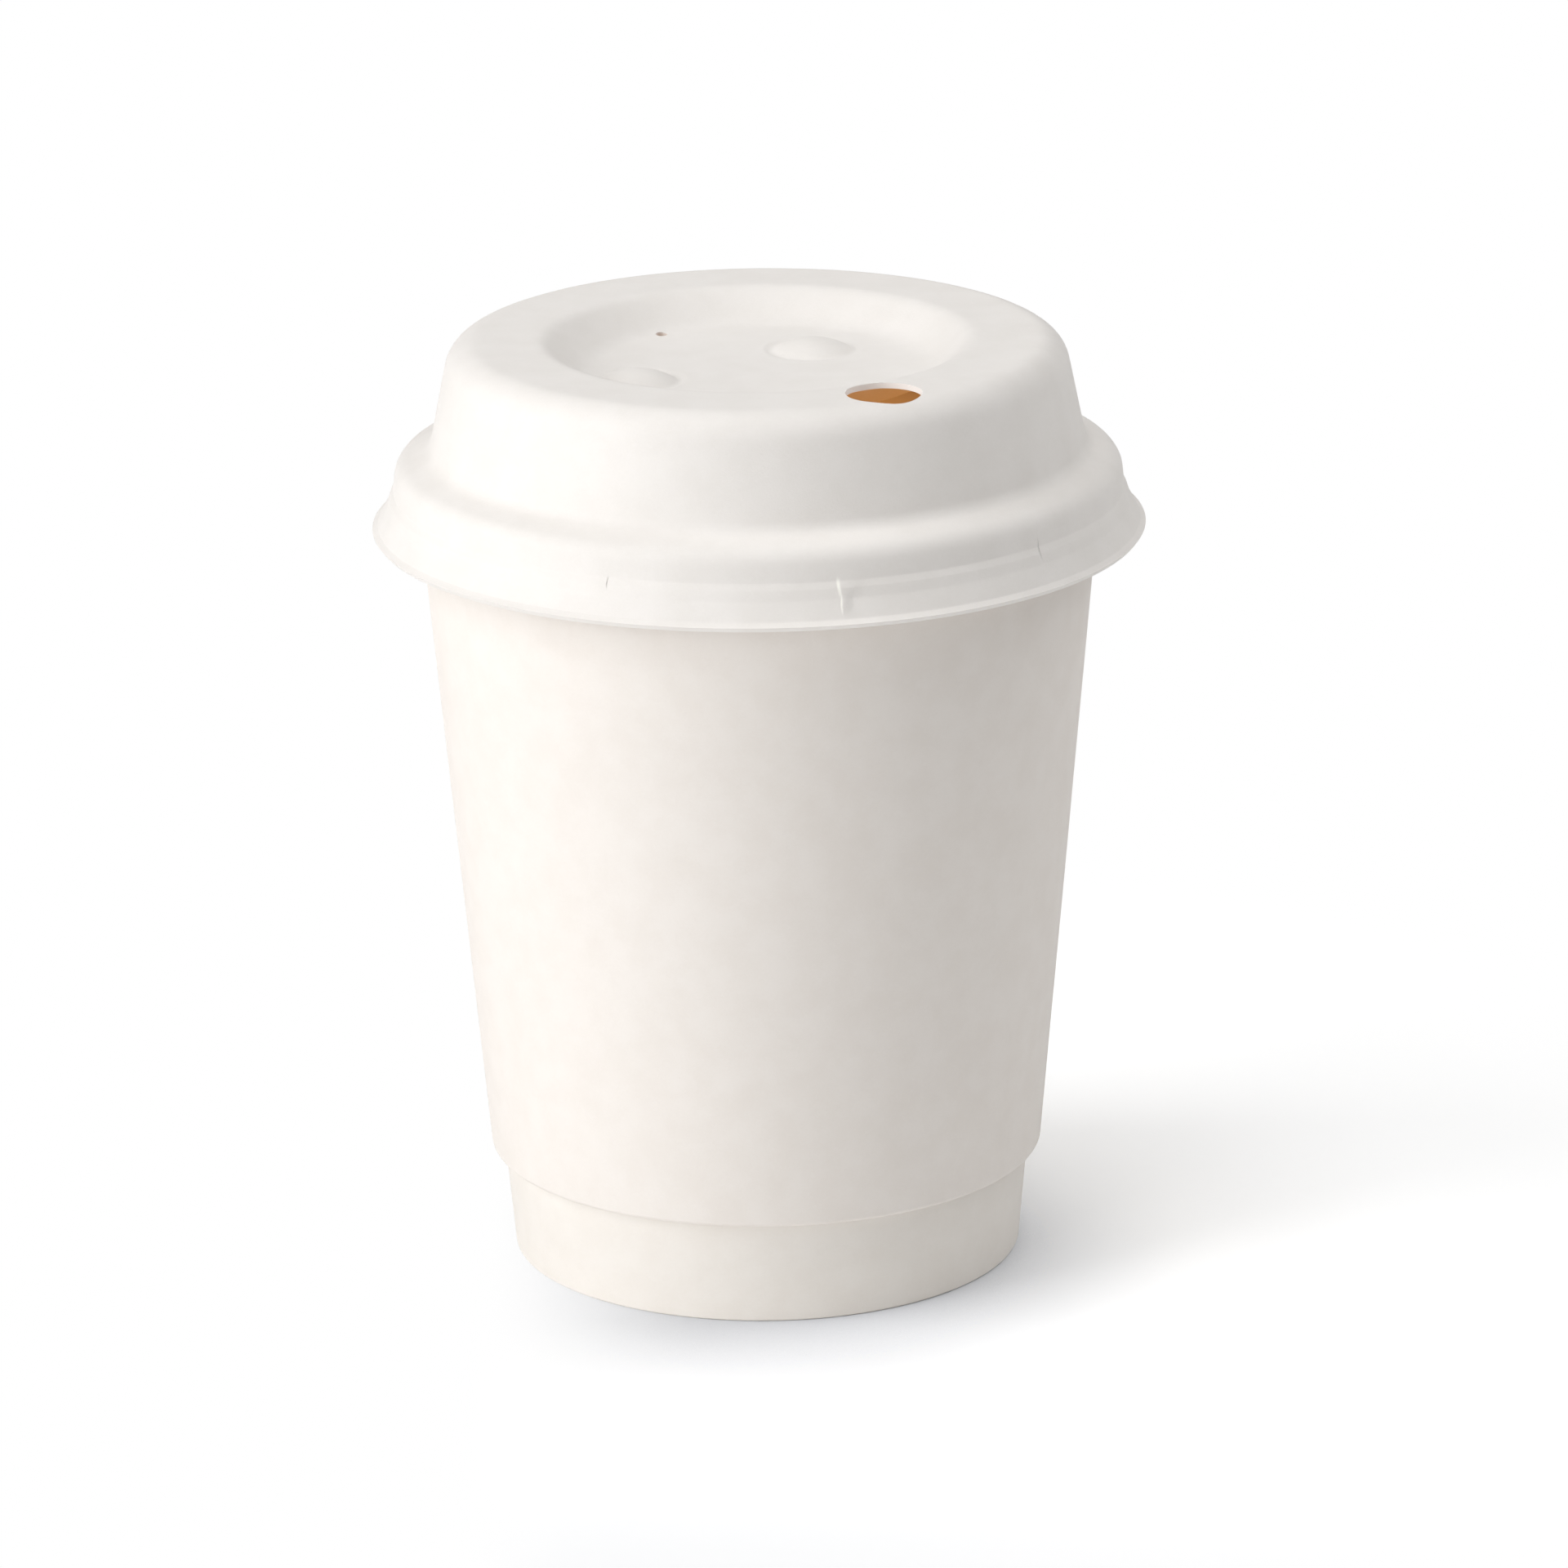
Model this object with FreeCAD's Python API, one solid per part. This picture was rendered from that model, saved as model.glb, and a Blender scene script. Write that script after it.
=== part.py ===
"""Double-wall paper cup with a moulded pulp lid, in millimetres.

The cup stands on z = 0 with its axis on Z. Every piece is a thin sheet, drawn as the path of
one of its faces in (radius, height) and given its thickness on the left of that path.
"""
import FreeCAD
import Part
import math
import os

# The cup as a whole
CUP_HEIGHT = 91.85         # table to the top of the rolled rim
BASE_DIAMETER = 57.4       # outside of the foot, at the table
RIM_DIAMETER = 79.2        # over the rolled rim
RIM_ROLL = 2.9             # height of the rolled rim
RIM_ROLL_TURN = 285.0      # degrees that the rim's edge is rolled through
GLUE_GAP = 0.04            # between sheets that are glued or sealed together

# Inner wall
WALL_BOARD = 0.34
FOOT_FOLD_HEIGHT = 6.0     # how far the wall's lower edge is folded up inside
FOOT_FOLD_ROUND = 0.35
SIDE_SEAM_WIDTH = 6.5      # overlap of the blank's two ends

# Bottom disc
DISC_BOARD = 0.30
DISC_HEIGHT = 7.2          # table to the disc's upper face
DISC_ROUND = 0.9

# Outer wrap
WRAP_BOARD = 0.36
WRAP_CLEARANCE = 12.0      # table to the wrap's lower edge
WRAP_LOWER_AIR = 1.04      # between the inner wall and the wrap, at the wrap's lower edge
WRAP_UPPER_AIR = 0.85      # the same at its upper edge
WRAP_UNDER_RIM = 0.15      # gap between the wrap's upper edge and the rolled rim
HEM_LIP = 2.4              # height of the turned-in edge that is glued to the inner wall
HEM_INNER_ROUND = 0.5
HEM_OUTER_ROUND = 0.6
WRAP_SEAM_WIDTH = 8.0

# Lid
LID_WALL = 0.65
LID_SEAT_GAP = 0.15        # between the rolled rim and the shoulder that sits over it
LID_RISE = 13.75           # top of the rim to the top of the lid
LEDGE_ANGLE = 22.0         # slope of the shoulder, from level
DOME_FOOT_INSET = 3.05     # in from the outside of the rim
DOME_DRAFT = 11.5          # lean of the dome's side, from upright
DOME_FOOT_ROUND = 2.0
DOME_TOP_ROUND = 3.5
WELL_DEPTH = 3.4
TOP_LAND_WIDTH = 10.6      # corner of the lid's top to the corner of the well
WELL_SLOPE_WIDTH = 4.2     # corner of the well to the corner of its floor
WELL_EDGE_ROUND = 3.0
WELL_FLOOR_ROUND = 3.5

# Lid's skirt, below the rim's centre line and out from the shoulder
CREASE_DROP = 1.6
CREASE_STEP = 0.3
CREASE_ROUND = 0.5
BAND_DROP = 0.7
BAND_STEP = 0.4
BAND_ROUND = 0.5
BAND_HEIGHT = 1.1
BAND_FLARE = 0.35
FLARE_ROUND = 1.5
FLARE_HEIGHT = 2.0
FLARE_WIDTH = 1.05
LIP_DROP = 0.45
LIP_FLARE = 0.6
LIP_ROUND = 0.4

# Lid's holes and buttons, in the lid's own right-and-forward directions
LID_TURN = 29.0            # degrees that the drinking hole stands to the right of -Y
SIP_DIAMETER = 8.4
SIP_INSET = 5.8            # hole's centre in from the corner of the lid's top
VENT_DIAMETER = 1.3
VENT_RIGHT = -2.2
VENT_INSET = 1.1           # hole's centre in from the corner of the well's floor, at the back
BUTTON_DIAMETER = 8.8
BUTTON_HEIGHT = 1.2
RIGHT_BUTTON_INSET = 10.1  # button's centre in from the corner of the well's floor
RIGHT_BUTTON_FORWARD = -3.9
LEFT_BUTTON_INSET = 5.1
LEFT_BUTTON_FORWARD = -1.9

# Worked out from the sizes above
BASE_RADIUS = BASE_DIAMETER / 2
ROLL_RADIUS = RIM_ROLL / 2
ROLL_CENTRE_R = RIM_DIAMETER / 2 - ROLL_RADIUS
ROLL_CENTRE_Z = CUP_HEIGHT - ROLL_RADIUS
ROLL_INSIDE = ROLL_RADIUS - WALL_BOARD
ROLL_DISTANCE = math.hypot(ROLL_CENTRE_R - BASE_RADIUS, ROLL_CENTRE_Z)
WALL_RUN = math.sqrt(ROLL_DISTANCE ** 2 - ROLL_INSIDE ** 2)
WALL_ANGLE = (math.atan2(ROLL_CENTRE_Z, ROLL_CENTRE_R - BASE_RADIUS)
              + math.asin(ROLL_INSIDE / ROLL_DISTANCE))
WALL_SLOPE = math.cos(WALL_ANGLE) / math.sin(WALL_ANGLE)
WALL_TOP_Z = WALL_RUN * math.sin(WALL_ANGLE)
FOOT_STACK = (2 * WALL_BOARD + DISC_BOARD + 2 * GLUE_GAP) / math.sin(WALL_ANGLE)
LID_TOP_Z = CUP_HEIGHT + LID_RISE


def wall_radius(z):
    """Outer radius of the inner wall at a height."""
    return BASE_RADIUS + WALL_SLOPE * z


def rim(r, z):
    return FreeCAD.Vector(r, 0, z)


def unit(a, b):
    length = math.hypot(b[0] - a[0], b[1] - a[1])
    return (b[0] - a[0]) / length, (b[1] - a[1]) / length


def shifted(corners, wall):
    """The path through the same corners, moved to its left by the wall's thickness.

    A corner is (radius, height, rounding). A left turn's rounding gets smaller by the wall and
    a right turn's gets larger, so the sheet keeps its thickness round both.
    """
    runs = [unit(a, b) for a, b in zip(corners[:-1], corners[1:])]
    ends = [corners[0], corners[-1]]
    moved = []
    for corner, run in zip(ends, (runs[0], runs[-1])):
        moved.append((corner[0] - run[1] * wall, corner[1] + run[0] * wall, 0))
    inner = []
    for corner, before, after in zip(corners[1:-1], runs[:-1], runs[1:]):
        turn = before[0] * after[1] - before[1] * after[0]
        along = (1 - before[0] * after[0] - before[1] * after[1]) / turn
        r = corner[0] - before[1] * wall - before[0] * wall * along
        z = corner[1] + before[0] * wall - before[1] * wall * along
        rounding = corner[2] - wall if turn > 0 else corner[2] + wall
        inner.append((r, z, max(rounding, 0)))
    return [moved[0]] + inner + [moved[1]]


def path_edges(corners):
    """Straight runs through the corners, joined by arcs of each corner's rounding."""
    edges = []
    start = corners[0]
    for corner, following in zip(corners[1:-1], corners[2:]):
        before = unit(start, corner)
        after = unit(corner, following)
        turn = math.atan2(before[0] * after[1] - before[1] * after[0],
                          before[0] * after[0] + before[1] * after[1])
        reach = corner[2] * math.tan(abs(turn) / 2)
        first = (corner[0] - before[0] * reach, corner[1] - before[1] * reach)
        edges.append(Part.LineSegment(rim(*start[:2]), rim(*first)).toShape())
        last = first
        if reach > 0:
            last = (corner[0] + after[0] * reach, corner[1] + after[1] * reach)
            side = math.copysign(corner[2], turn)
            centre = (first[0] - before[1] * side, first[1] + before[0] * side)
            out = unit(centre, corner[:2])
            middle = (centre[0] + out[0] * corner[2], centre[1] + out[1] * corner[2])
            edges.append(Part.Arc(rim(*first), rim(*middle), rim(*last)).toShape())
        start = last
    edges.append(Part.LineSegment(rim(*start[:2]), rim(*corners[-1][:2])).toShape())
    return edges


def curl_edge(radius):
    """An arc of the rolled rim, from where the wall meets it, outwards and down."""
    start = WALL_ANGLE + math.pi / 2
    points = []
    for share in (0, 0.5, 1):
        angle = start - math.radians(RIM_ROLL_TURN) * share
        points.append(rim(ROLL_CENTRE_R + radius * math.cos(angle),
                          ROLL_CENTRE_Z + radius * math.sin(angle)))
    return Part.Arc(*points).toShape()


def turned(first, second):
    """The solid that the sheet between two paths sweeps round the cup's axis."""
    starts = [first[0].firstVertex(True).Point, second[0].firstVertex(True).Point]
    stops = [first[-1].lastVertex(True).Point, second[-1].lastVertex(True).Point]
    closing = [Part.LineSegment(*starts).toShape(), Part.LineSegment(*stops).toShape()]
    wire = Part.Wire(Part.__sortEdges__(first + second + closing))
    solid = Part.Face(wire).revolve(FreeCAD.Vector(0, 0, 0), FreeCAD.Vector(0, 0, 1), 360)
    return solid


def sheet(corners, board):
    """A sheet of even thickness: its corners give one face, and the board lies on the left."""
    return turned(path_edges(corners), path_edges(shifted(corners, board)))


def at_seam(layer, width, height):
    """The part of a layer that lies within a seam's width, at the back of the cup."""
    reach = RIM_DIAMETER
    slab = Part.makeBox(width, reach, height, FreeCAD.Vector(-width / 2, 0, 0))
    return layer.common(slab)


def inner_cup_wall():
    fold_foot = BASE_RADIUS - FOOT_STACK
    fold_top = fold_foot + WALL_SLOPE * FOOT_FOLD_HEIGHT
    corners = [(fold_top, FOOT_FOLD_HEIGHT, 0),
               (fold_foot, 0, FOOT_FOLD_ROUND),
               (BASE_RADIUS, 0, FOOT_FOLD_ROUND),
               (wall_radius(WALL_TOP_Z), WALL_TOP_Z, 0)]
    outside = path_edges(corners) + [curl_edge(ROLL_INSIDE)]
    inside = path_edges(shifted(corners, WALL_BOARD)) + [curl_edge(ROLL_RADIUS)]
    wall = turned(outside, inside)
    low = DISC_HEIGHT + GLUE_GAP
    seam_face = [(wall_radius(low), low, 0), (wall_radius(WALL_TOP_Z), WALL_TOP_Z, 0)]
    overlap = at_seam(sheet(seam_face, 2 * WALL_BOARD), SIDE_SEAM_WIDTH, CUP_HEIGHT)
    return wall.fuse(overlap).removeSplitter().Solids[0]


def bottom_disc():
    inset = (WALL_BOARD + GLUE_GAP) / math.sin(WALL_ANGLE)
    low = WALL_BOARD + GLUE_GAP
    corners = [(wall_radius(low) - inset, low, 0),
               (wall_radius(DISC_HEIGHT) - inset, DISC_HEIGHT, DISC_ROUND),
               (0, DISC_HEIGHT, 0)]
    return sheet(corners, DISC_BOARD)


def outer_wrap():
    gap = GLUE_GAP / math.sin(WALL_ANGLE)
    lip_top = WRAP_CLEARANCE + HEM_LIP
    top = CUP_HEIGHT - RIM_ROLL - WRAP_UNDER_RIM
    lower_r = wall_radius(WRAP_CLEARANCE) + WRAP_LOWER_AIR + WRAP_BOARD
    lower = (lower_r, WRAP_CLEARANCE, HEM_OUTER_ROUND)
    upper = (wall_radius(top) + WRAP_UPPER_AIR + WRAP_BOARD, top, 0)
    corners = [(wall_radius(lip_top) + gap, lip_top, 0),
               (wall_radius(WRAP_CLEARANCE) + gap, WRAP_CLEARANCE, HEM_INNER_ROUND),
               lower,
               upper]
    wrap = sheet(corners, WRAP_BOARD)
    out, up = unit(lower, upper)
    seam_low = WRAP_CLEARANCE + HEM_OUTER_ROUND
    seam_start = lower[0] + out / up * HEM_OUTER_ROUND
    seam_face = [(seam_start + WRAP_BOARD / up, seam_low, 0),
                 (upper[0] + WRAP_BOARD / up, top, 0)]
    overlap = at_seam(sheet(seam_face, 2 * WRAP_BOARD), WRAP_SEAM_WIDTH, top)
    return wrap.fuse(overlap).removeSplitter().Solids[0]


def lid_place(right, forward):
    """A point of the lid's plan, from its own directions to the cup's."""
    turn = math.radians(LID_TURN)
    return (right * math.cos(turn) + forward * math.sin(turn),
            right * math.sin(turn) - forward * math.cos(turn))


def lid_corners():
    shoulder = ROLL_RADIUS + LID_SEAT_GAP + LID_WALL
    shoulder_r = ROLL_CENTRE_R + shoulder
    slope = math.radians(LEDGE_ANGLE)
    touch_r = ROLL_CENTRE_R + shoulder * math.sin(slope)
    touch_z = ROLL_CENTRE_Z + shoulder * math.cos(slope)
    shoulder_z = touch_z - (shoulder_r - touch_r) * math.tan(slope)
    foot_r = RIM_DIAMETER / 2 - DOME_FOOT_INSET
    foot_z = touch_z + (touch_r - foot_r) * math.tan(slope)
    top_r = foot_r - (LID_TOP_Z - foot_z) * math.tan(math.radians(DOME_DRAFT))
    crease = (shoulder_r + CREASE_STEP, ROLL_CENTRE_Z - CREASE_DROP)
    band = (crease[0] + BAND_STEP, crease[1] - BAND_DROP)
    flare = (band[0] + BAND_FLARE, band[1] - BAND_HEIGHT)
    lip = (flare[0] + FLARE_WIDTH, flare[1] - FLARE_HEIGHT)
    well_r = top_r - TOP_LAND_WIDTH
    floor_z = LID_TOP_Z - WELL_DEPTH
    return [(lip[0] + LIP_FLARE, lip[1] - LIP_DROP, 0),
            lip + (LIP_ROUND,),
            flare + (FLARE_ROUND,),
            band + (BAND_ROUND,),
            crease + (CREASE_ROUND,),
            (shoulder_r, shoulder_z, shoulder),
            (foot_r, foot_z, DOME_FOOT_ROUND),
            (top_r, LID_TOP_Z, DOME_TOP_ROUND),
            (well_r, LID_TOP_Z, WELL_EDGE_ROUND),
            (well_r - WELL_SLOPE_WIDTH, floor_z, WELL_FLOOR_ROUND),
            (0, floor_z, 0)]


def add_button(lid, right, forward, floor_z):
    """A low dome pressed up out of the well's floor, as thin as the rest of the lid."""
    x, y = lid_place(right, forward)
    foot = BUTTON_DIAMETER / 2
    ball = (foot ** 2 + BUTTON_HEIGHT ** 2) / (2 * BUTTON_HEIGHT)
    centre = FreeCAD.Vector(x, y, floor_z + BUTTON_HEIGHT - ball)
    floor_middle = floor_z - LID_WALL / 2
    slab = Part.makeCylinder(foot, BUTTON_HEIGHT + LID_WALL, FreeCAD.Vector(x, y, floor_middle))
    lying = FreeCAD.Vector(1, 0, 0)
    dome = Part.makeSphere(ball, centre, lying).common(slab)
    hollow = Part.makeSphere(ball - LID_WALL, centre, lying)
    return lid.fuse(dome).cut(hollow)


def lid():
    corners = lid_corners()
    top_r = corners[-4][0]
    floor_r, floor_z = corners[-2][:2]
    shell = sheet(corners, LID_WALL)
    shell = add_button(shell, floor_r - RIGHT_BUTTON_INSET, RIGHT_BUTTON_FORWARD, floor_z)
    shell = add_button(shell, LEFT_BUTTON_INSET - floor_r, LEFT_BUTTON_FORWARD, floor_z)
    low = FreeCAD.Vector(*lid_place(0, top_r - SIP_INSET), CUP_HEIGHT)
    shell = shell.cut(Part.makeCylinder(SIP_DIAMETER / 2, 2 * LID_RISE, low))
    low = FreeCAD.Vector(*lid_place(VENT_RIGHT, VENT_INSET - floor_r), CUP_HEIGHT)
    shell = shell.cut(Part.makeCylinder(VENT_DIAMETER / 2, 2 * LID_RISE, low))
    return shell.removeSplitter().Solids[0]


os.makedirs("parts", exist_ok=True)
for piece in (inner_cup_wall, bottom_disc, outer_wrap, lid):
    shape = piece()
    box = shape.optimalBoundingBox(False)
    print(piece.__name__, len(shape.Solids), "solid", shape.isValid(), "volume",
          round(shape.Volume, 1), "radius", round(box.XMax, 3), "height",
          round(box.ZMin, 3), "to", round(box.ZMax, 3))
    shape.exportStep("parts/" + piece.__name__ + ".step")
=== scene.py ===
import bpy
import math
from mathutils import Matrix, Vector


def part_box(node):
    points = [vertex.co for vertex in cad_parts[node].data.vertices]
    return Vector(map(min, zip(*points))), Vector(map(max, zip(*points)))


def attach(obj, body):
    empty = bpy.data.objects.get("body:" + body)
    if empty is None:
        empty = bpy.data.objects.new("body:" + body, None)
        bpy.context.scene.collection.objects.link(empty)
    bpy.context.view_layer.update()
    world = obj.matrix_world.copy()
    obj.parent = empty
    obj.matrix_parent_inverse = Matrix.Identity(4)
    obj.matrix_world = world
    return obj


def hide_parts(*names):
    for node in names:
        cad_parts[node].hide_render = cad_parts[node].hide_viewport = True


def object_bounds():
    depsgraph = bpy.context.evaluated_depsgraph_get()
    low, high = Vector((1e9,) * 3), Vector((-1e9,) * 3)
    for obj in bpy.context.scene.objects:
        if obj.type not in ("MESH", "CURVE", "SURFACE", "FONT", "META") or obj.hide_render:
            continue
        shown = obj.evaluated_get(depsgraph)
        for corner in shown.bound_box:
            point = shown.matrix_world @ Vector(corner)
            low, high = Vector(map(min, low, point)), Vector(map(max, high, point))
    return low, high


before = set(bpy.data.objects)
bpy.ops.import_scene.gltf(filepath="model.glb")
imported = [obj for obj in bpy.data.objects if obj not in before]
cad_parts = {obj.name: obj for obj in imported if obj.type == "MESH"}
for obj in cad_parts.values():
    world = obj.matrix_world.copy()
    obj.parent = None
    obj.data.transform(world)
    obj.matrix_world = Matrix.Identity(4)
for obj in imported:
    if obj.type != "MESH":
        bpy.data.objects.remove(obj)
cad_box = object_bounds()

# The cup's inner wall
# A fan-shaped blank of white coated board, wrapped to a cone and sealed down its back. Its lower
# edge is folded up inside round the bottom disc, and its upper edge is rolled outwards.
MM = 0.001
wall_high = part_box("inner_cup_wall")[1] / MM
CUP_HEIGHT = wall_high.z
FOOT_RADIUS = 28.7
WALL_BOARD = 0.34
DISC_BOARD = 0.30
GLUE_GAP = 0.04
FOLD_HEIGHT = 6.0
FOLD_ROUND = 0.35
ROLL_RADIUS = 1.45
ROLL_TURN = 285
ROLL_CENTRE = Vector((wall_high.x - ROLL_RADIUS, CUP_HEIGHT - ROLL_RADIUS))
WALL_SEAM_WIDTH = 6.5
SEAM_RAMP = 2.5
BACK = math.radians(90)
ROUND_STEPS = 320
SHARP_BEND = math.radians(32)
# Colour of the seam's cut edge and glue, darkened with painted shade.
CUT_EDGE_AND_SHADE = (0.50, 0.46, 0.41, 1)
# Colour of the painted warm glow inside the cup and under the lid.
PAINTED_WARM_GLOW = (0.105, 0.049, 0.016, 1)
BOARD_UNEVENNESS = {"Unevenness": 0.03 * MM, "Grain": 14 * MM}
LINING_PAINTED_GLOW = (91, 88)
DISC_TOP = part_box("bottom_disc")[1].z / MM
WRAP_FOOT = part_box("outer_wrap")[0].z / MM
FOOT_STEP = 0.09
LAP_MARGIN = 0.5
LEAST_LAP = 0.01
MERGE_DISTANCE = 0.001
INSIDE_FACES = 0.6

roll_inside = ROLL_RADIUS - WALL_BOARD
to_roll = ROLL_CENTRE - Vector((FOOT_RADIUS, 0))
WALL_ANGLE = math.atan2(to_roll.y, to_roll.x) + math.asin(roll_inside / to_roll.length)
WALL_SLOPE = 1 / math.tan(WALL_ANGLE)


def wall_radius(z):
    """Outer radius of the inner wall at a height."""
    return FOOT_RADIUS + WALL_SLOPE * z


def moved_left(corners, distance):
    """The same path of (radius, height, rounding) corners, moved to its left by a distance."""
    flat = [Vector(corner[:2]) for corner in corners]
    runs = [(b - a).normalized() for a, b in zip(flat, flat[1:])]
    sides = [Vector((-run.y, run.x)) for run in runs]
    made = [(*(flat[0] + sides[0] * distance), 0)]
    for corner, place, before, after in zip(corners[1:-1], flat[1:], sides, sides[1:]):
        corner_side = (before + after) * distance / (1 + before.dot(after))
        turns_left = before.cross(after) > 0
        rounding = corner[2] - distance if turns_left else corner[2] + distance
        made.append((*(place + corner_side), max(rounding, 0)))
    return made + [(*(flat[-1] + sides[-1] * distance), 0)]


def rounded(corners, run_step, turn_step=9):
    """Points along a path of corners, spaced along its runs and round its corners."""
    flat = [Vector(corner[:2]) for corner in corners]
    stops = [(flat[0], flat[0], None)]
    for (_, _, radius), a, b, c in zip(corners[1:-1], flat, flat[1:], flat[2:]):
        before, after = (b - a).normalized(), (c - b).normalized()
        turn = math.atan2(before.cross(after), before.dot(after))
        reach = radius * math.tan(abs(turn) / 2)
        stops.append((b - before * reach, b + after * reach, (before, turn, radius)))
    stops.append((flat[-1], flat[-1], None))
    points = [flat[0]]
    for (_, start, _), (end, _, bend) in zip(stops, stops[1:]):
        pieces = max(1, math.ceil((end - start).length / run_step))
        points += [start.lerp(end, share / pieces) for share in range(1, pieces + 1)]
        if bend and bend[2] > 0:
            before, turn, radius = bend
            side = Vector((-before.y, before.x)) * math.copysign(radius, turn)
            pieces = math.ceil(abs(math.degrees(turn)) / turn_step)
            for share in range(1, pieces + 1):
                swung = Matrix.Rotation(turn * share / pieces, 2) @ side
                points.append(end + side - swung)
    return points


def curl(radius, pieces=36):
    """Points round the rolled rim, from where the wall meets it, outwards and down."""
    start = WALL_ANGLE + math.pi / 2
    angles = [start - math.radians(ROLL_TURN) * share / pieces for share in range(1, pieces + 1)]
    return [ROLL_CENTRE + Vector((math.cos(angle), math.sin(angle))) * radius for angle in angles]


class Wire:
    """A socket in a node tree: sums and products of wires add the tree's Math nodes."""

    def __init__(self, tree, socket=None):
        self.tree = tree
        self.socket = socket

    def node(self, kind, settings=None, sockets=None, output=0):
        """Adds a node, makes its settings, fills or links its sockets and gives one output."""
        made = self.tree.nodes.new(kind)
        for name, value in (settings or {}).items():
            setattr(made, name, value)
        for key, value in (sockets or {}).items():
            if isinstance(value, Wire):
                self.tree.links.new(value.socket, made.inputs[key])
            else:
                made.inputs[key].default_value = value
        return Wire(self.tree, made.outputs[output])

    def out(self, name):
        """Another output of the same node."""
        return Wire(self.tree, self.socket.node.outputs[name])

    def maths(self, operation, *others):
        """A Math node with this wire first."""
        return self.node("ShaderNodeMath", {"operation": operation},
                         dict(enumerate((self, *others))))

    def __add__(self, other):
        return self.maths("ADD", other)

    def __sub__(self, other):
        return self.maths("SUBTRACT", other)

    def __mul__(self, other):
        return self.maths("MULTIPLY", other)

    def __truediv__(self, other):
        return self.maths("DIVIDE", other)

    def __mod__(self, other):
        return self.maths("MODULO", other)

    def __rsub__(self, other):
        return self * -1 + other

    def __rtruediv__(self, other):
        return self.maths("POWER", -1) * other

    __radd__ = __add__
    __rmul__ = __mul__

    def smooth(self, low, high):
        """Nought at low, one at high and an even change between them."""
        ends = {"Value": self, "From Min": low, "From Max": high}
        return self.node("ShaderNodeMapRange", {"interpolation_type": "SMOOTHSTEP"}, ends)

    def vector(self, operation, *others):
        """A Vector Math node with this wire first."""
        return self.node("ShaderNodeVectorMath", {"operation": operation},
                         dict(enumerate((self, *others))))

    def parts(self):
        """The three numbers of a vector."""
        split = self.node("ShaderNodeSeparateXYZ", {}, {0: self})
        return split, split.out("Y"), split.out("Z")

    def packed(self, x, y, z):
        """A vector of three numbers."""
        return self.node("ShaderNodeCombineXYZ", {}, {0: x, 1: y, 2: z})


def plan_distance(x, y):
    """How far a point of the plan lies from its middle."""
    return (x * x + y * y).maths("SQRT")


def new_recipe(name, sizes):
    """An empty geometry tree with a wire for each named input."""
    tree = bpy.data.node_groups.new(name, "GeometryNodeTree")
    tree.interface.new_socket("Geometry", in_out="OUTPUT", socket_type="NodeSocketGeometry")
    tree.interface.new_socket("Outline", in_out="INPUT", socket_type="NodeSocketGeometry")
    for size, kind in sizes.items():
        tree.interface.new_socket(size, in_out="INPUT", socket_type="NodeSocket" + kind)
    first = Wire(tree).node("NodeGroupInput")
    return tree, {name: first.out(name) for name in ["Outline", *sizes]}


def finish_recipe(tree, shape, given):
    """Keeps sharp edges crisp, puts on both faces' finishes and ends the tree."""
    add = Wire(tree).node
    bend = add("GeometryNodeInputMeshEdgeAngle")
    sharp = bend.maths("GREATER_THAN", SHARP_BEND)
    inside = add("GeometryNodeInputNamedAttribute", {"data_type": "FLOAT"}, {"Name": "inside"})
    inside = inside.maths("GREATER_THAN", INSIDE_FACES)
    shape = add("GeometryNodeSetShadeSmooth", {"domain": "FACE"}, {0: shape})
    shape = add("GeometryNodeSetShadeSmooth", {"domain": "EDGE"},
                {0: shape, "Selection": sharp, "Shade Smooth": False})
    shape = add("GeometryNodeRealizeInstances", {}, {0: shape})
    shape = add("GeometryNodeSetMaterial", {}, {0: shape, "Material": given["Material"]})
    shape = add("GeometryNodeSetMaterial", {}, {0: shape, "Selection": inside,
                                                "Material": given["Inside Material"]})
    end = tree.nodes.new("NodeGroupOutput")
    tree.links.new(shape.socket, end.inputs[0])


def turned_grid(tree, given):
    """Sweeps an outline of (radius, 0, height) points round Z, with a lapped seam at its start."""
    add = Wire(tree).node
    count = add("GeometryNodeAttributeDomainSize", {}, {0: given["Outline"]})
    rows = count + given["Closed"]
    grid = add("GeometryNodeMeshGrid", {}, {"Vertices X": given["Steps"] + 2,
                                            "Vertices Y": rows})
    index = add("GeometryNodeInputIndex")
    column = (index / rows).maths("FLOOR") % (given["Steps"] + 1)
    swept = column / given["Steps"] * math.tau
    angle = swept + given["Start"]
    row = (index % rows) % count
    place = add("GeometryNodeSampleIndex", {"data_type": "FLOAT_VECTOR"},
                {0: given["Outline"], "Value": add("GeometryNodeInputPosition"), "Index": row})
    lap, inside = (
        add("GeometryNodeSampleIndex", {"data_type": "FLOAT"},
            {0: given["Outline"], "Index": row,
             "Value": add("GeometryNodeInputNamedAttribute", {"data_type": "FLOAT"},
                          {"Name": name})})
        for name in ("lap", "inside"))
    radius, _, height = place.parts()
    edge = column.maths("MINIMUM", given["Steps"] - column)
    edge = (1 - edge) * lap.maths("ABSOLUTE").maths("GREATER_THAN", LEAST_LAP * MM)
    past_seam = (swept * radius).smooth(given["Seam Width"], given["Seam Width"] + given["Ramp"])
    radius = radius + lap * (1 - past_seam)
    x = radius * angle.maths("COSINE")
    y = radius * angle.maths("SINE")
    shape = add("GeometryNodeSetPosition", {}, {0: grid, "Position": grid.packed(x, y, height)})
    for name, value in (("inside", inside), ("seam", edge.maths("MAXIMUM", 0.0))):
        shape = add("GeometryNodeStoreNamedAttribute", {"data_type": "FLOAT"},
                    {0: shape, "Name": name, "Value": value})
    return add("GeometryNodeMergeByDistance", {}, {0: shape, "Distance": MERGE_DISTANCE * MM})


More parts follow.
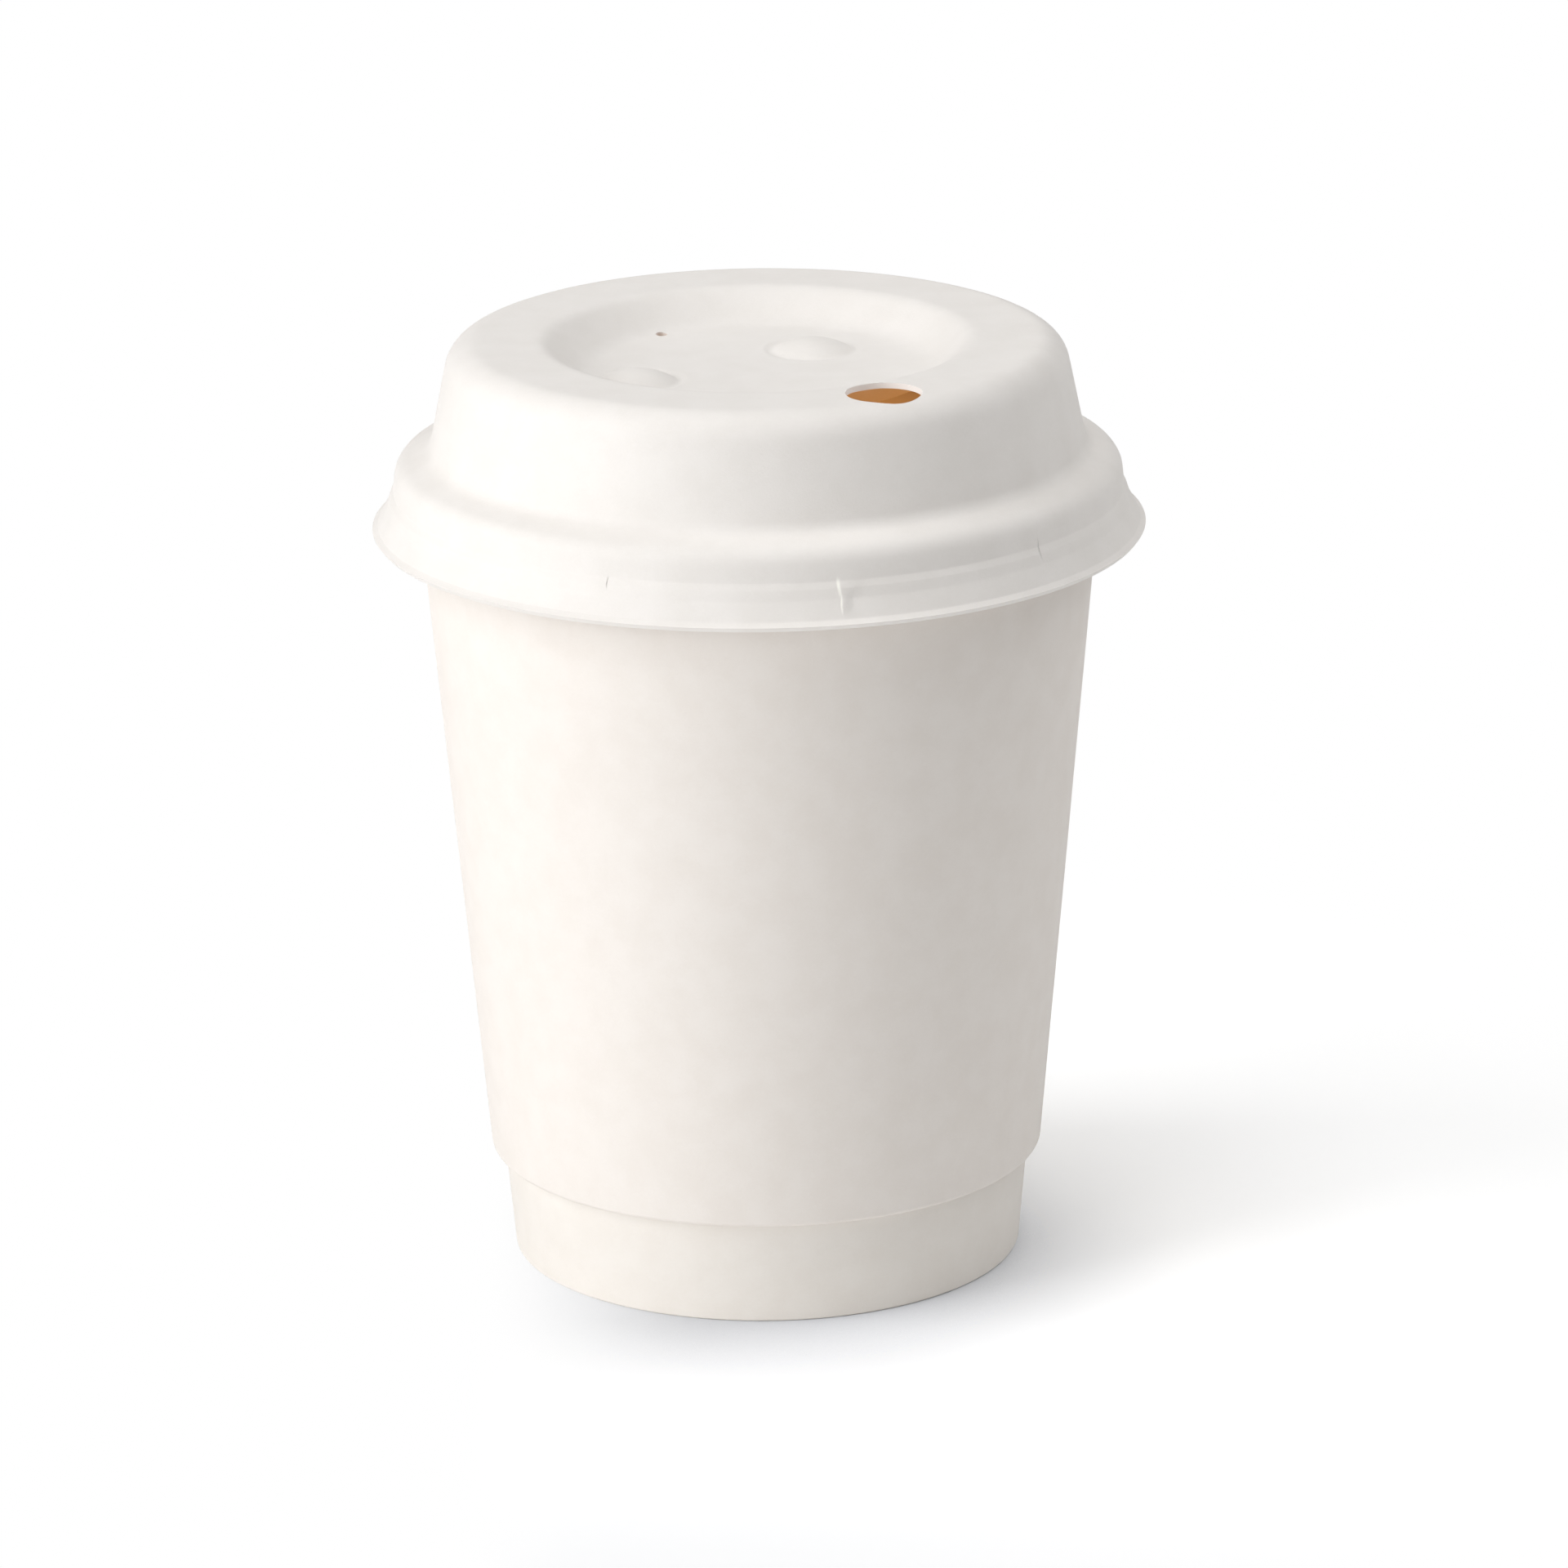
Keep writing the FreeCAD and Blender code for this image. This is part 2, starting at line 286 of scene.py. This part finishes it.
def uneven(tree, shape, amount, grain):
    """Pushes a mesh about a little, sheet and all, as no real board or pulp is quite even."""
    add = Wire(tree).node
    noise = add("ShaderNodeTexNoise", {}, {"Scale": 1 / grain, "Detail": 1.0}, output="Color")
    push = noise.vector("SUBTRACT", (0.5, 0.5, 0.5))
    push = add("ShaderNodeVectorMath", {"operation": "SCALE"}, {0: push, "Scale": amount})
    place = add("GeometryNodeInputPosition").vector("ADD", push)
    place = place.vector("MAXIMUM", cad_box[0]).vector("MINIMUM", cad_box[1])
    return add("GeometryNodeSetPosition", {}, {0: shape, "Position": place})


TURNING_SIZES = {"Steps": "Int", "Closed": "Int", "Start": "Float", "Seam Width": "Float",
                 "Ramp": "Float", "Unevenness": "Float", "Grain": "Float",
                 "Material": "Material", "Inside Material": "Material"}


def turning_recipe():
    """The tree for a sheet turned round the cup's axis."""
    tree, given = new_recipe("turned sheet", TURNING_SIZES)
    shape = turned_grid(tree, given)
    shape = uneven(tree, shape, given["Unevenness"], given["Grain"])
    finish_recipe(tree, shape, given)
    return tree


def made_piece(name, outline, recipe, sizes):
    """Runs a recipe on an outline of (radius, height, lap, inside) points and keeps its mesh."""
    mesh = bpy.data.meshes.new(name + "_outline")
    mesh.from_pydata([(r * MM, 0, z * MM) for r, z, _, _ in outline], [], [])
    laps = mesh.attributes.new("lap", "FLOAT", "POINT").data
    insides = mesh.attributes.new("inside", "FLOAT", "POINT").data
    for index, (_, _, lap, inside) in enumerate(outline):
        laps[index].value = lap * MM
        insides[index].value = inside
    piece = bpy.data.objects.new(name, mesh)
    bpy.context.scene.collection.objects.link(piece)
    modifier = piece.modifiers.new("recipe", "NODES")
    modifier.node_group = recipe
    for item in recipe.interface.items_tree:
        if item.name in sizes:
            modifier[item.identifier] = sizes[item.name]
    settled = piece.evaluated_get(bpy.context.evaluated_depsgraph_get())
    plain = bpy.data.meshes.new_from_object(settled)
    piece.modifiers.clear()
    piece.data = plain
    if plain.materials[0] is None:
        plain.materials.pop(index=0)
    plain.name = name
    return piece


def new_finish(name, roughness, **constants):
    """A material with its Principled shader, whose even values are set on its own sockets."""
    material = bpy.data.materials.new(name)
    material.use_nodes = True
    shader = material.node_tree.nodes["Principled BSDF"]
    shader.inputs["Roughness"].default_value = roughness
    for socket, value in constants.items():
        shader.inputs[socket.replace("_", " ")].default_value = value
    start = Wire(material.node_tree)
    place = start.node("ShaderNodeTexCoord", output="Object")
    return material, shader, place


def noise(place, size, detail=2.0, roughness=0.5, distortion=0.0):
    """Noise whose lumps are about a size in millimetres."""
    settings = {"noise_dimensions": "3D", "normalize": True}
    return place.node("ShaderNodeTexNoise", settings,
                      {"Vector": place, "Scale": 1 / (size * MM), "Detail": detail,
                       "Roughness": roughness, "Distortion": distortion})


def mixed(factor, first, second):
    """One colour turning into another."""
    return factor.node("ShaderNodeMix", {"data_type": "RGBA"},
                       {0: factor, 6: first, 7: second}, output=2)


def linked(shader, socket, wire):
    """Joins a wire to one of a shader's sockets."""
    wire.tree.links.new(wire.socket, shader.inputs[socket])


def bumped(shader, height, depth):
    """Bump from a height of nought to one that stands for a depth in millimetres."""
    bump = height.node("ShaderNodeBump", {}, {"Strength": 1.0, "Distance": depth * MM,
                                              "Height": height})
    linked(shader, "Normal", bump)


def paint_glow(shader, place, dark, bright):
    """A painted warm glow, as emission between two heights, standing in for the light that the thin
    sheets let through.
    """
    height = place.parts()[2] / MM
    painted_glow = mixed(height.smooth(dark, bright), (0, 0, 0, 1), PAINTED_WARM_GLOW)
    linked(shader, "Emission Color", painted_glow)
    shader.inputs["Emission Strength"].default_value = 1


def board_finish(name, light, dark, roughness, fibre_depth, painted_glow=None, **constants):
    """Paper board: cloudy formation, fine fibres lying all ways, and a darker line at its lap,
    which is the cut edge and glue together with painted shade beside the step; with glow heights, a
    painted warm glow too.
    """
    material, shader, place = new_finish(name, roughness, **constants)
    cloud = noise(place, 4.0, detail=3.0)
    fibres = noise(place, 0.45, detail=3.0, roughness=0.6, distortion=1.6)
    tone = cloud * 0.65 + fibres * 0.35
    colour = mixed(tone.smooth(0.3, 0.7), dark, light)
    edge = place.node("ShaderNodeAttribute", {"attribute_name": "seam"}, output="Fac")
    # The seam line is partly the board's cut edge and partly painted shade beside the step.
    colour = mixed(edge.smooth(0.45, 1) * 0.55, colour, CUT_EDGE_AND_SHADE)
    linked(shader, "Base Color", colour)
    bumped(shader, fibres * 0.7 + noise(place, 0.14) * 0.3, fibre_depth)
    if painted_glow:
        paint_glow(shader, place, *painted_glow)
    return material


cup_board = board_finish("white_board", (0.89, 0.85, 0.80, 1), (0.86, 0.815, 0.76, 1),
                         0.6, 0.010)
# The lining has a painted warm glow on everything below the rim.
cup_lining = board_finish("coated_lining", (0.88, 0.83, 0.75, 1), (0.86, 0.80, 0.715, 1),
                          0.34, 0.004, LINING_PAINTED_GLOW, Coat_Weight=0.25, Coat_Roughness=0.25)
turning = turning_recipe()

fold_sheets = 2 * WALL_BOARD + DISC_BOARD + 2 * GLUE_GAP
fold_foot = FOOT_RADIUS - fold_sheets / math.sin(WALL_ANGLE)
wall_top = math.sqrt(to_roll.length ** 2 - roll_inside ** 2) * math.sin(WALL_ANGLE)
wall_corners = [(fold_foot + WALL_SLOPE * FOLD_HEIGHT, FOLD_HEIGHT, 0),
                (fold_foot, 0, FOLD_ROUND),
                (FOOT_RADIUS, 0, FOLD_ROUND),
                (wall_radius(wall_top), wall_top, 0)]
outside = rounded(wall_corners, 3) + curl(roll_inside)
inside = rounded(moved_left(wall_corners, WALL_BOARD), 3) + curl(ROLL_RADIUS)


def outer_lap(point):
    """How far the wall's outer face steps out at its seam: a little, where the foot shows it."""
    on_foot = point.x > FOOT_RADIUS and LAP_MARGIN < point.y < WRAP_FOOT - LAP_MARGIN
    return FOOT_STEP if on_foot else 0


def inner_lap(point):
    """How far its inner face steps in there: by the second board, above the bottom disc."""
    on_wall = point.x > FOOT_RADIUS - 2 * WALL_BOARD and DISC_TOP < point.y < wall_top
    return -WALL_BOARD if on_wall else 0


outline = [(*point, outer_lap(point), 0) for point in outside]
outline += [(*point, inner_lap(point), 1) for point in reversed(inside)]
seam_start = BACK - WALL_SEAM_WIDTH / 2 / FOOT_RADIUS
inner_wall = made_piece("cup_inner_wall", outline, turning,
                        {"Steps": ROUND_STEPS, "Closed": 1, "Start": seam_start,
                         "Seam Width": WALL_SEAM_WIDTH * MM, "Ramp": SEAM_RAMP * MM,
                         "Material": cup_board, "Inside Material": cup_lining,
                         **BOARD_UNEVENNESS})
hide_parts("inner_cup_wall")
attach(inner_wall, "cup")

# The bottom disc
# A round of the same board, its edge turned down and sealed between the wall and the wall's
# fold, a little above the table.
DISC_ROUND = 0.9

inset = (WALL_BOARD + GLUE_GAP) / math.sin(WALL_ANGLE)
skirt_foot = WALL_BOARD + GLUE_GAP
disc_corners = [(wall_radius(skirt_foot) - inset, skirt_foot, 0),
                (wall_radius(DISC_TOP) - inset, DISC_TOP, DISC_ROUND),
                (0, DISC_TOP, 0)]
upper = rounded(disc_corners, 2)
lower = rounded(moved_left(disc_corners, DISC_BOARD), 2)
outline = [(*point, 0, 0) for point in lower[::-1]] + [(*point, 0, 1) for point in upper]
disc = made_piece("cup_bottom", outline, turning,
                  {"Steps": ROUND_STEPS, "Closed": 0, "Start": 0.0, "Seam Width": 0.0,
                   "Ramp": SEAM_RAMP * MM, "Material": cup_board,
                   "Inside Material": cup_lining, **BOARD_UNEVENNESS})
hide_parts("bottom_disc")
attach(disc, "cup")

# The outer wrap
# A second blank of uncoated board round the first, with air between them. It is glued down the
# back, where one end laps over the other, and by its lower edge, which is turned in and up.
WRAP_BOARD = 0.36
LOWER_AIR = 1.04
UPPER_AIR = 0.85
UNDER_RIM = 0.15
HEM_LIP = 2.4
HEM_INNER_ROUND = 0.5
HEM_OUTER_ROUND = 0.6
WRAP_SEAM_WIDTH = 8.0

wrap_board = board_finish("sleeve_board", (0.89, 0.843, 0.797, 1), (0.86, 0.808, 0.757, 1),
                          0.72, 0.014)
gap = GLUE_GAP / math.sin(WALL_ANGLE)
wrap_top = CUP_HEIGHT - 2 * ROLL_RADIUS - UNDER_RIM
lip_top = WRAP_FOOT + HEM_LIP
wrap_corners = [(wall_radius(lip_top) + gap, lip_top, 0),
                (wall_radius(WRAP_FOOT) + gap, WRAP_FOOT, HEM_INNER_ROUND),
                (wall_radius(WRAP_FOOT) + LOWER_AIR + WRAP_BOARD, WRAP_FOOT, HEM_OUTER_ROUND),
                (wall_radius(wrap_top) + UPPER_AIR + WRAP_BOARD, wrap_top, 0)]
outside = rounded(wrap_corners, 2)
inside = rounded(moved_left(wrap_corners, WRAP_BOARD), 2)
lap_foot = WRAP_FOOT + HEM_OUTER_ROUND


def wrap_lap(point):
    """How far the wrap's outer face steps out at its seam: by the board that laps over it."""
    on_outside = point.x > wall_radius(point.y) + LOWER_AIR / 2
    return WRAP_BOARD if on_outside and point.y > lap_foot else 0


outline = [(*point, wrap_lap(point), 0) for point in outside]
outline += [(*point, 0, 1) for point in reversed(inside)]
seam_start = BACK - WRAP_SEAM_WIDTH / 2 / wrap_corners[2][0]
wrap = made_piece("cup_outer_wrap", outline, turning,
                  {"Steps": ROUND_STEPS, "Closed": 1, "Start": seam_start,
                   "Seam Width": WRAP_SEAM_WIDTH * MM, "Ramp": 2 * SEAM_RAMP * MM,
                   "Unevenness": 0.06 * MM, "Grain": 17 * MM, "Material": wrap_board,
                   "Inside Material": wrap_board})
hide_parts("outer_wrap")
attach(wrap, "cup")

# The lid
# Plant pulp, pressed hot between two moulds into one thin shell: a skirt that grips the rolled
# rim, a raised dome with a sunk top, two low buttons, and a punched drinking hole and vent.
lid_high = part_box("lid")[1] / MM
LID_WALL = 0.65
SEAT_GAP = 0.15
LEDGE_ANGLE = math.radians(22)
DOME_FOOT_INSET = 3.05
DOME_DRAFT = math.radians(11.5)
DOME_FOOT_ROUND = 2.0
DOME_TOP_ROUND = 3.5
TOP_LAND = 10.6
WELL_SLOPE = 4.2
WELL_DEPTH = 3.4
WELL_EDGE_ROUND = 3.0
WELL_FLOOR_ROUND = 3.5
SKIRT = ((2.7, -5.85, 0), (2.1, -5.4, 0.4), (1.05, -3.4, 1.5), (0.7, -2.3, 0.5), (0.3, -1.6, 0.5))
LID_STEPS = 300
LID_TURN = math.radians(29)
SIP_DIAMETER = 8.4
SIP_INSET = 5.8
VENT_DIAMETER = 1.3
VENT_PLACE = (-2.2, -18.2)
BUTTON_PLACES = ((9.2, -3.9), (-14.2, -1.9))
BUTTON_RADIUS = 4.3
BUTTON_HEIGHT = 1.2
MOAT_RADIUS = 4.75
MOAT_WIDTH = 0.75
MOAT_DEPTH = 0.22
PUNCH_LENGTH = 20
SIP_SIDES = 96
VENT_SIDES = 24
PULP_LIGHT = (0.885, 0.852, 0.818, 1)
PULP_DARK = (0.85, 0.816, 0.778, 1)
# Colour of the painted glow on the drinking hole's edge.
PAINTED_EDGE_GLOW = (0.14, 0.17, 0.185, 1)
# Colours of the painted highlight and painted shade along the skirt's creases.
CREASE_PAINTED_HIGHLIGHT = (0.99, 0.98, 0.90, 1)
CREASE_PAINTED_SHADE = (0.66, 0.63, 0.60, 1)
CREASE_STEP = 6
CREASE_DEPTH = 2
CREASE_WANDER = 0.7
UNDERSIDE_PAINTED_GLOW = (92, 93.5)
FELT_DEPTH = 0.036
PAINTED_HIGHLIGHT_CREASES = ((12, 86.8, 89.6, 0.27), (12.2, 85.2, 88.0, 0.14))
PAINTED_SHADE_CREASES = ((48, 87.0, 90.2, 0.18), (-23.4, 87.5, 89.1, 0.16))

shoulder = ROLL_RADIUS + SEAT_GAP + LID_WALL
shoulder_r = ROLL_CENTRE.x + shoulder
touch = ROLL_CENTRE + Vector((math.sin(LEDGE_ANGLE), math.cos(LEDGE_ANGLE))) * shoulder
dome_foot_r = wall_high.x - DOME_FOOT_INSET
dome_foot_z = touch.y + (touch.x - dome_foot_r) * math.tan(LEDGE_ANGLE)
lid_top = lid_high.z
top_r = dome_foot_r - (lid_top - dome_foot_z) * math.tan(DOME_DRAFT)
well_r = top_r - TOP_LAND
floor_r = well_r - WELL_SLOPE
lid_corners = [(shoulder_r + out, ROLL_CENTRE.y + up, rounding) for out, up, rounding in SKIRT]
lid_corners += [
    (shoulder_r, touch.y - (shoulder_r - touch.x) * math.tan(LEDGE_ANGLE), shoulder),
    (dome_foot_r, dome_foot_z, DOME_FOOT_ROUND),
    (top_r, lid_top, DOME_TOP_ROUND),
    (well_r, lid_top, WELL_EDGE_ROUND),
    (floor_r, lid_top - WELL_DEPTH, WELL_FLOOR_ROUND),
    (0, lid_top - WELL_DEPTH, 0)]


def lid_place(right, forward):
    """A point of the lid's plan, from its own directions to the cup's."""
    return Vector((right * math.cos(LID_TURN) + forward * math.sin(LID_TURN),
                   right * math.sin(LID_TURN) - forward * math.cos(LID_TURN)))


def pressed_button(shape, place):
    """A low dome in a shallow moat, pressed up out of the well's floor on both its faces."""
    x, y, _ = shape.node("GeometryNodeInputPosition").parts()
    out = plan_distance(x - place.x * MM, y - place.y * MM) / MM
    share = out / BUTTON_RADIUS
    dome = (1 - share * share).maths("MAXIMUM", 0.0) * (BUTTON_HEIGHT * MM)
    share = (out - MOAT_RADIUS) / MOAT_WIDTH
    moat = (1 - share * share).maths("MAXIMUM", 0.0)
    rise = dome - moat * moat * (MOAT_DEPTH * MM)
    return shape.node("GeometryNodeSetPosition", {},
                      {0: shape, "Offset": shape.packed(0.0, 0.0, rise)})


def punched(shape, diameter, place, sides):
    """A round hole punched straight down through the lid."""
    punch = shape.node("GeometryNodeMeshCylinder", {},
                       {"Vertices": sides, "Radius": diameter / 2 * MM, "Depth": PUNCH_LENGTH * MM})
    spot = (place.x * MM, place.y * MM, lid_top * MM)
    punch = shape.node("GeometryNodeTransform", {}, {0: punch, "Translation": spot})
    return shape.node("GeometryNodeMeshBoolean", {"operation": "DIFFERENCE", "solver": "EXACT"},
                      {"Mesh 1": shape, "Mesh 2": punch})


def crease(place, azimuth, low, high, width):
    """A hairline up the skirt between two heights, as the mask where painted highlight and painted
    shade go, and the fine step on its right side.
    """
    turn = math.radians(azimuth)
    x, y, z = (part / MM for part in place.parts())
    wander = (noise(place, 2.5) - 0.5) * CREASE_WANDER
    across = x * math.cos(turn) + y * math.sin(turn) + wander
    facing = (x * math.sin(turn) - y * math.cos(turn)).maths("GREATER_THAN", 0.0)
    middle = (low + high) / 2
    reach = facing * (z - middle).maths("ABSOLUTE").smooth((high - low) / 2, 0)
    line = reach * across.maths("ABSOLUTE").smooth(width, 0)
    return line, reach * across.smooth(-width, width) * across.smooth(12 * width, width)


def paint_edge_glow(shader, place):
    """A painted glow on the punched edge of the drinking hole, as emission, standing in for the
    light that it gets through the pulp round it.
    """
    x, y, _ = (part / MM for part in place.parts())
    hole = lid_place(0, top_r - SIP_INSET)
    out = plan_distance(x - hole.x, y - hole.y)
    edge = (out - SIP_DIAMETER / 2).maths("ABSOLUTE").smooth(0.03, 0.02)
    linked(shader, "Emission Color", mixed(edge, (0, 0, 0, 1), PAINTED_EDGE_GLOW))
    shader.inputs["Emission Strength"].default_value = 1


def pulp_finish(name, painted_glow=None):
    """Pressed pulp: a felt of short fibres with a soft cloudiness, smooth from the hot mould. Given
    glow heights, it has a painted warm glow; otherwise it has painted highlight and painted shade
    along the skirt's creases and a painted glow on the drinking hole's edge.
    """
    material, shader, place = new_finish(name, 0.62)
    cloud = noise(place, 5.0, detail=3.0)
    felt = noise(place, 0.55, detail=4.0, roughness=0.62, distortion=2.2)
    tone = cloud * 0.6 + felt * 0.4
    colour = mixed(tone.smooth(0.3, 0.7), PULP_DARK, PULP_LIGHT)
    height = felt * 0.6 + noise(place, 0.2) * 0.15 + cloud * 0.25
    if painted_glow:
        paint_glow(shader, place, *painted_glow)
    else:
        paint_edge_glow(shader, place)
        # Painted highlight along the creases that catch the light, then painted shade along the
        # others.
        for spot in PAINTED_HIGHLIGHT_CREASES:
            line, step = crease(place, *spot)
            colour = mixed(line, colour, CREASE_PAINTED_HIGHLIGHT)
            height = height + step * CREASE_STEP
        for spot in PAINTED_SHADE_CREASES:
            line, _ = crease(place, *spot)
            colour = mixed(line, colour, CREASE_PAINTED_SHADE)
            height = height - line * CREASE_DEPTH
    linked(shader, "Base Color", colour)
    bumped(shader, height, FELT_DEPTH)
    return material


recipe, given = new_recipe("pressed lid", TURNING_SIZES)
shell = turned_grid(recipe, given)
for spot in BUTTON_PLACES:
    shell = pressed_button(shell, lid_place(*spot))
shell = uneven(recipe, shell, given["Unevenness"], given["Grain"])
shell = punched(shell, SIP_DIAMETER, lid_place(0, top_r - SIP_INSET), SIP_SIDES)
shell = punched(shell, VENT_DIAMETER, lid_place(*VENT_PLACE), VENT_SIDES)
finish_recipe(recipe, shell, given)

outer = rounded(lid_corners, 0.45, 8)
inner = rounded(moved_left(lid_corners, LID_WALL), 0.9, 12)
outline = [(*point, 0, 1) for point in inner[::-1]] + [(*point, 0, 0) for point in outer]
lid = made_piece("lid_shell", outline, recipe,
                 {"Steps": LID_STEPS, "Closed": 0, "Start": 0.0, "Seam Width": 0.0,
                  "Ramp": SEAM_RAMP * MM, "Unevenness": 0.06 * MM, "Grain": 11 * MM,
                  "Material": pulp_finish("pressed_pulp"),
                  # The underside has a painted warm glow up under the lid's top.
                  "Inside Material": pulp_finish("pulp_underside", UNDERSIDE_PAINTED_GLOW)})
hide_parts("lid")
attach(lid, "lid_body")

# The table top
# A plain white sheet under the cup, wide enough to run out of view, that keeps its shadow. To the
# camera the lit sheet is brightened to white, with a painted contact shadow from ambient occlusion
# that is darker towards the front, and it turns plain white further off and at the left.
TABLE_SIZE = 8
CONTACT_REACH = 32
PAINTED_SHADOW_LEAN = (0.001, 0.004)
PAINTED_CONTACT_SHADE = (0.70, 0.72, 0.76, 1)
OPEN_SHADE = (1.31, 1.31, 1.31, 1)
SHADOW_END = (42, 140)
LEFT_END = (-6, -33)
material, shader, place = new_finish("table_white", 0.9, Base_Color=(0.92, 0.92, 0.92, 1))
add = place.node
# Painted contact shadow: ambient occlusion, leaned darker towards the front, darkens the floor
# round the foot.
painted_contact = add("ShaderNodeAmbientOcclusion", {"samples": 8}, {"Distance": CONTACT_REACH * MM},
              output="AO")
x, y, _ = (part / MM for part in place.parts())
painted_contact = painted_contact + y * PAINTED_SHADOW_LEAN[1] + x * PAINTED_SHADOW_LEAN[0]
shade = mixed(painted_contact.smooth(0.3, 0.95), PAINTED_CONTACT_SHADE, OPEN_SHADE)
near = add("ShaderNodeBsdfDiffuse", {}, {"Color": shade})
white = add("ShaderNodeEmission", {}, {"Color": (1, 1, 1, 1), "Strength": 1.0})
clear = plan_distance(x, y).smooth(*SHADOW_END).maths("MAXIMUM", x.smooth(*LEFT_END))
seen = add("ShaderNodeMixShader", {}, {0: clear, 1: near, 2: white})
eye = add("ShaderNodeLightPath", output="Is Camera Ray")
surface = Wire(material.node_tree, shader.outputs[0])
surface = add("ShaderNodeMixShader", {}, {0: eye, 1: surface, 2: seen})
output = material.node_tree.nodes["Material Output"]
material.node_tree.links.new(surface.socket, output.inputs["Surface"])
bpy.ops.mesh.primitive_plane_add(size=TABLE_SIZE)
table = bpy.context.object
table.name = "table_top"
table.data.materials.append(material)

# The light
# Broad soft lamps, the strongest at the left, in an even white room.
ROOM_LIGHT = 0.15
LAMP_AIM = Vector((0, 0, 0.05))
LAMP_DISTANCE = 1.2
LAMP_SIZE = 0.8
LAMPS = {"left_front": (-45, 8, 5.8), "left_high": (-70, 32, 7.5), "overhead": (0, 85, 3.9),
         "right_back": (100, 45, 4.8), "back": (180, 35, 1.0)}
world = bpy.data.worlds.new("white_room")
world.use_nodes = True
world.node_tree.nodes["Background"].inputs["Color"].default_value = (1, 1, 1, 1)
bpy.context.scene.world = world
room = Wire(world.node_tree).node("ShaderNodeLightPath", output="Is Camera Ray")
room = room + (1 - room) * ROOM_LIGHT
linked(world.node_tree.nodes["Background"], "Strength", room)


def soft_lamp(name, azimuth, elevation, power):
    """A square lamp aimed at the middle of the cup. Azimuth 0 is on the viewer's side."""
    turn, rise = math.radians(azimuth), math.radians(elevation)
    away = Vector((math.sin(turn) * math.cos(rise), -math.cos(turn) * math.cos(rise),
                   math.sin(rise)))
    data = bpy.data.lights.new(name, "AREA")
    data.shape = "SQUARE"
    data.size = LAMP_SIZE
    data.energy = power
    lamp = bpy.data.objects.new(name, data)
    lamp.location = LAMP_AIM + away * LAMP_DISTANCE
    lamp.rotation_euler = away.to_track_quat("Z", "Y").to_euler()
    bpy.context.scene.collection.objects.link(lamp)


for name, (azimuth, elevation, power) in LAMPS.items():
    soft_lamp(name, azimuth, elevation, power)

# The camera
# It stands about a metre away, and looks some 17 degrees down on the cup through a long lens.
PHOTO_SIZE = 1920
FOCAL_PIXELS = 10437
SENSOR_WIDTH = 36
CAMERA_PLACE = Vector((2.45, -916.2, 340.3)) * MM
LOOK_DOWN = 0.3032
ROLL = -0.0113
camera_data = bpy.data.cameras.new("camera")
camera_data.sensor_width = SENSOR_WIDTH
camera_data.lens = SENSOR_WIDTH * FOCAL_PIXELS / PHOTO_SIZE
camera_data.clip_start = 0.05
camera_data.clip_end = 50
camera = bpy.data.objects.new("camera", camera_data)
bpy.context.scene.collection.objects.link(camera)
bpy.context.scene.camera = camera
ahead = Vector((0, math.cos(LOOK_DOWN), -math.sin(LOOK_DOWN)))
level_right = Vector((1, 0, 0))
upward = level_right.cross(ahead)
right = level_right * math.cos(ROLL) + upward * math.sin(ROLL)
up = right.cross(ahead)
turned = Matrix((right, up, -ahead)).transposed().to_4x4()
camera.matrix_world = Matrix.Translation(CAMERA_PLACE) @ turned

bpy.context.scene.view_settings.view_transform = "Standard"
